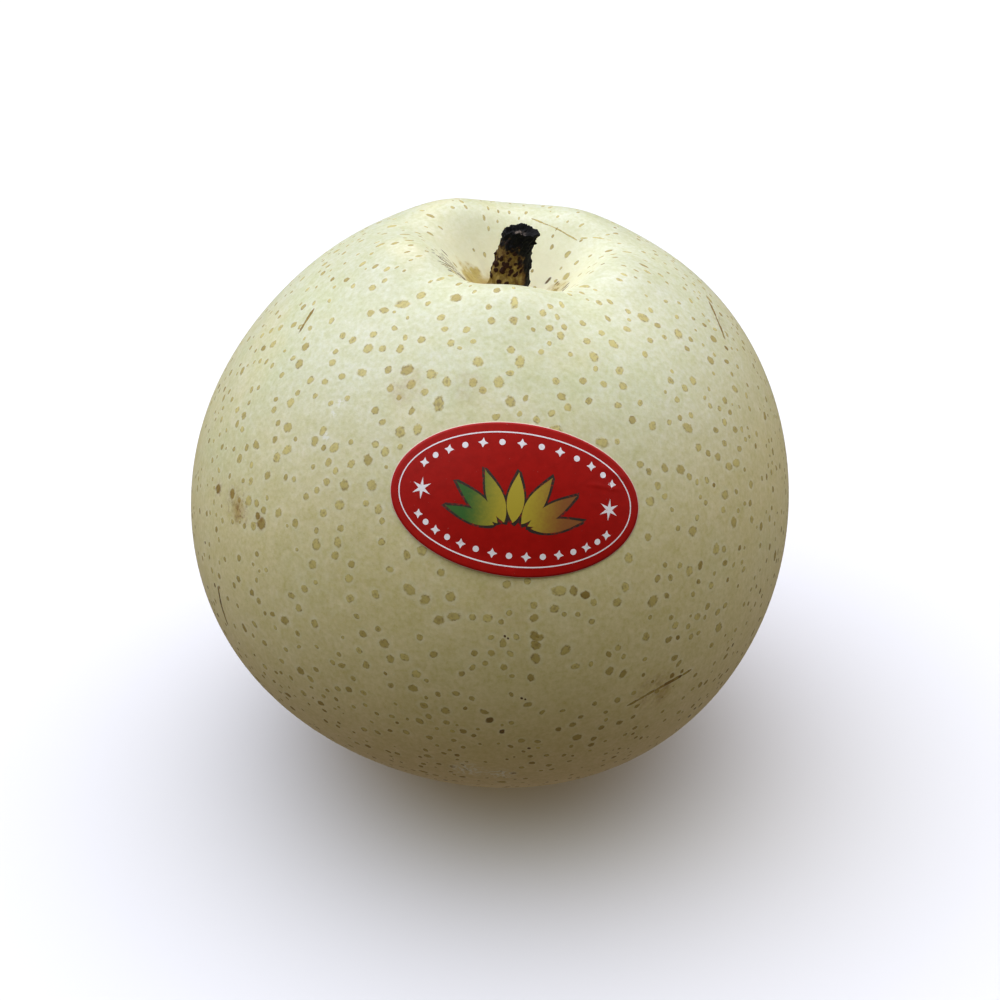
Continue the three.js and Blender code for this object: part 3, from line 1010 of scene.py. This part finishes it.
# an outline round a middle point becomes a closed film with inner rings that follow the curve
def inkFilm(points, faces, plane, outline, middle, order=0):
    low = paperTop() - inkForm["root"]
    high = paperTop() + inkForm["lift"] + order * inkForm["film"]
    steps = [(1.0, low)] + [(share, high) for share in inkForm["rings"]]
    start, count = len(points), len(outline)
    for share, lift in steps:
        for along, across in outline:
            spot = (middle[0] + (along - middle[0]) * share, middle[1] + (across - middle[1]) * share)
            addInkPoint(points, plane, spot, lift)
    top = len(points)
    addInkPoint(points, plane, middle, high)
    points.append(labelPoint(*middle, low))
    plane.append((*middle, 0))
    faces += ringFaces(len(steps), count, start)
    faces += fanFaces(top, count, start=start + (len(steps) - 1) * count)
    faces += fanFaces(top + 1, count, start=start, flip=True)


def inkRing(points, faces, plane, halfLength, halfWidth, thickness, around=220):
    low, high = paperTop() - inkForm["root"], paperTop() + inkForm["lift"]
    start = len(points)
    for inset, lift in ((0, low), (0, high), (thickness, high), (thickness, low)):
        for column in range(around):
            angle = 2 * math.pi * column / around
            spot = ((halfLength - inset) * math.cos(angle), (halfWidth - inset) * math.sin(angle))
            addInkPoint(points, plane, spot, lift)
    faces += ringFaces(4, around, start, closed=True)


# a pointed leaf from a root, drawn by its two bowed sides
def leafOutline(root, angle, length, width, grow=0.0, steps=18):
    outline = []
    direction = Vector((math.cos(angle), math.sin(angle)))
    side = Vector((-direction.y, direction.x))
    for sign in (1, -1):
        for step in range(steps):
            share = step / steps if sign > 0 else 1 - step / steps
            bow = math.sin(math.pi * share ** 0.8) * width / 2 + grow
            reach = share * length + (2 * share - 1) * grow * 1.6
            spot = Vector(root) + direction * reach + side * bow * -sign
            outline.append((spot.x, spot.y))
    return outline


# a closed outline with the given radii in turn: one radius makes a bead, two make a star
def spokeOutline(middle, radii, count, turn=0.0):
    outline = []
    for i in range(count):
        radius, angle = radii[i % len(radii)], turn + 2 * math.pi * i / count
        outline.append((middle[0] + radius * math.cos(angle), middle[1] + radius * math.sin(angle)))
    return outline


# a fan of leaves in the middle, a hairline oval, and a border of beads and small stars
stickerPrint = {
    "leaves": [(-76, 5.2, 1.75), (-52, 5.9, 2.0), (-27, 6.1, 2.1), (0, 6.2, 2.15),
               (27, 6.1, 2.1), (52, 5.9, 2.0), (76, 5.2, 1.75)],  # angle from upright, length, width
    "fanRoot": (0.0, -3.4), "rootSpread": 1.35, "outlineGrow": 0.19, "leafGrow": -0.05,
    "hairline": (14.75, 8.1, 0.16), "beadRing": (13.2, 6.75), "topBeads": 13, "bottomBeads": 15, "arc": 62,
    "bead": (0.38,), "beadStar": (0.62, 0.3), "endStar": (1.35, 0.42), "endStarAt": 11.6,
}


def fanLeaves(grow):
    d = stickerPrint
    for angle, length, width in d["leaves"]:
        lean = math.radians(angle)
        root = (d["fanRoot"][0] + math.sin(lean) * d["rootSpread"] * 1.6,
                d["fanRoot"][1] + math.cos(lean) * d["rootSpread"] * 0.4)
        stretch = 1 + 0.28 * abs(math.sin(lean))
        outline = leafOutline(root, math.pi / 2 - lean, length * stretch, width, grow)
        tip = Vector(root) + Vector((math.sin(lean), math.cos(lean))) * length * stretch * 0.48
        yield outline, (tip.x, tip.y)


def makeInk():
    d = stickerPrint
    inks = {name: ([], [], []) for name in ("stickerWhite", "stickerDark", "stickerLeaves")}
    inkRing(*inks["stickerWhite"], *d["hairline"])
    for count, sign in ((d["topBeads"], 1), (d["bottomBeads"], -1)):
        for index in range(count):
            sweep = math.radians(90 - d["arc"] + 2 * d["arc"] * index / (count - 1))
            middle = (d["beadRing"][0] * math.cos(sweep), sign * d["beadRing"][1] * math.sin(sweep))
            shape = (d["bead"], 14) if index % 2 else (d["beadStar"], 8)
            inkFilm(*inks["stickerWhite"], spokeOutline(middle, *shape), middle)
    for side in (-1, 1):
        middle = (side * d["endStarAt"], 0.0)
        inkFilm(*inks["stickerWhite"], spokeOutline(middle, d["endStar"], 12, math.pi / 2), middle)
    for outline, middle in fanLeaves(d["outlineGrow"]):
        inkFilm(*inks["stickerDark"], outline, middle)
    for outline, middle in fanLeaves(d["leafGrow"]):
        inkFilm(*inks["stickerLeaves"], outline, middle, order=1)
    pieces = []
    for name, (points, faces, plane) in inks.items():
        piece = meshObject(name, points, faces, smooth=False)
        addAttribute(piece.data, "labelPlane", "FLOAT_VECTOR", "POINT", plane)
        pieces.append(piece)
    return pieces


stickerLook = {
    "red": colour(0.435, 0.0075, 0.005), "redDeep": colour(0.375, 0.006, 0.004),
    "paper": colour(0.80, 0.62, 0.54), "white": colour(0.97, 0.96, 1.0), "dark": colour(0.030, 0.020, 0.014),
    "green": colour(0.035, 0.14, 0.02), "gold": colour(0.50, 0.40, 0.03), "rust": colour(0.28, 0.095, 0.02),
}


def paperMaterial():
    look = stickerLook
    material, bench, shader = newMaterial("stickerRedPaper")
    place = bench.place()
    rim = bench.attribute("labelRim", "Fac")
    tone = bench.noise(place, 900.0, 3.0, 0.6)
    red = bench.mix(bench.step(0.3, 0.75, tone), look["red"], look["redDeep"])
    fleck = bench.times(bench.step(0.72, 0.78, bench.noise(place, 3600.0, 2.0, 0.6)), 0.18)
    red = bench.mix(fleck, red, look["paper"])
    edge = bench.step(1 - labelForm["paleEdge"], 1 - labelForm["paleEdge"] * 0.6, rim)
    bench.feed(shader.inputs["Base Color"], bench.mix(edge, red, look["paper"]))
    bump = bench.add("ShaderNodeBump", {"Height": tone, "Strength": 0.35, "Distance": 0.00006})
    bench.feed(shader.inputs["Normal"], bump.outputs[0])
    shader.inputs["Roughness"].default_value = 0.42
    shader.inputs["Specular IOR Level"].default_value = 0.14
    return material


def inkMaterial(name):
    look = stickerLook
    material, bench, shader = newMaterial(name)
    place = bench.place()
    speck = bench.noise(place, 2400.0, 2.0, 0.6)
    if name == "stickerWhite":
        tint = bench.mix(bench.times(bench.step(0.55, 0.8, speck), 0.3), look["white"], look["red"])
    elif name == "stickerDark":
        tint = bench.mix(bench.step(0.5, 0.8, speck), look["dark"], look["redDeep"])
    else:
        along = bench.add("ShaderNodeSeparateXYZ", {0: bench.attribute("labelPlane")}).outputs[0]
        along = bench.math("ADD", along, bench.swing(speck, 1.6))
        tint = bench.mix(bench.step(-6.2, -0.6, along), look["green"], look["gold"])
        tint = bench.mix(bench.step(0.4, 6.4, along), tint, look["rust"])
    bench.feed(shader.inputs["Base Color"], tint)
    shader.inputs["Roughness"].default_value = 0.42
    return material


sticker = makeLabel()
sticker.data.materials.append(paperMaterial())
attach(sticker, "root")
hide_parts("label")
for film in makeInk():
    film.data.materials.append(inkMaterial(film.name))
    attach(film, "root")
    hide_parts("label")
print("sticker built")

# floor and sky
studio = {
    "floorSize": 6.0, "floor": colour(0.80, 0.80, 0.80),
    "domeFrom": 0.5, "domeFull": 0.62, "dome": 1.68, "domeAside": -1.02, "domeBack": 2.05,
    "leftTint": colour(0.98, 1.02, 1.2), "rightTint": colour(1.0, 1.0, 1.10),
    "frontTint": colour(1.0, 0.955, 0.68), "left": 0.92, "right": 1.04, "sidesToFront": 0.6,
    "below": colour(0.25, 0.20, 0.15), "backdrop": colour(1.0, 1.0, 1.0),
}


def makeFloor():
    half = studio["floorSize"] / 2
    corners = [(-half, -half, 0), (half, -half, 0), (half, half, 0), (-half, half, 0)]
    floor = meshObject("paleFloor", corners, [(0, 1, 2, 3)], smooth=False)
    material, bench, shader = newMaterial("paleFloorPaint")
    shader.inputs["Base Color"].default_value = studio["floor"]
    shader.inputs["Roughness"].default_value = 0.9
    floor.data.materials.append(material)
    floor.visible_diffuse = False  # keeps the pear's underside in shade, as in the photograph
    floor.visible_glossy = False


# a broad soft light overhead, stronger at the back and the left, with softer sides that dim towards
# the front, a low warm glow from the ground, and a plain white backdrop
def makeSky():
    world = bpy.data.worlds.new("softSky")
    bpy.context.scene.world = world
    world.use_nodes = True
    bench = nodeBench(world.node_tree)
    direction = bench.add("ShaderNodeTexCoord").outputs["Generated"]
    aside, back, up = bench.add("ShaderNodeSeparateXYZ", {0: direction}).outputs[:3]
    level = bench.math("MULTIPLY_ADD", aside, studio["domeAside"], studio["dome"])
    level = bench.math("MAXIMUM", bench.math("MULTIPLY_ADD", back, studio["domeBack"], level), 0.0)
    level = bench.times(level, bench.step(studio["domeFrom"], studio["domeFull"], up))
    tilt = bench.times(aside, bench.math("ABSOLUTE", aside))
    sides = bench.math("MAXIMUM", bench.times(tilt, studio["right"]), bench.times(tilt, -studio["left"]))
    forward = bench.math("MINIMUM", back, 0.0)
    sides = bench.times(sides, bench.math("MULTIPLY_ADD", forward, studio["sidesToFront"], 1.0))
    level = bench.math("MULTIPLY_ADD", sides, bench.step(-0.1, 0.4, up), level)
    tint = bench.mix(bench.step(-0.7, 0.3, aside), studio["leftTint"], studio["rightTint"])
    warm = bench.vector("MULTIPLY", tint, studio["frontTint"][:3])
    tint = bench.mix(bench.step(0.0, -0.6, back), tint, warm)
    dome = bench.vector("SCALE", tint, scale=level)
    ground = bench.vector("SCALE", tuple(studio["below"][:3]), scale=bench.step(0.1, -0.6, up))
    seen = bench.add("ShaderNodeLightPath").outputs["Is Camera Ray"]
    light = bench.mix(seen, bench.vector("ADD", dome, ground), studio["backdrop"])
    bench.feed(world.node_tree.nodes["Background"].inputs["Color"], light)


makeFloor()
makeSky()
bpy.context.scene.view_settings.view_transform = "Standard"
print("studio lit")
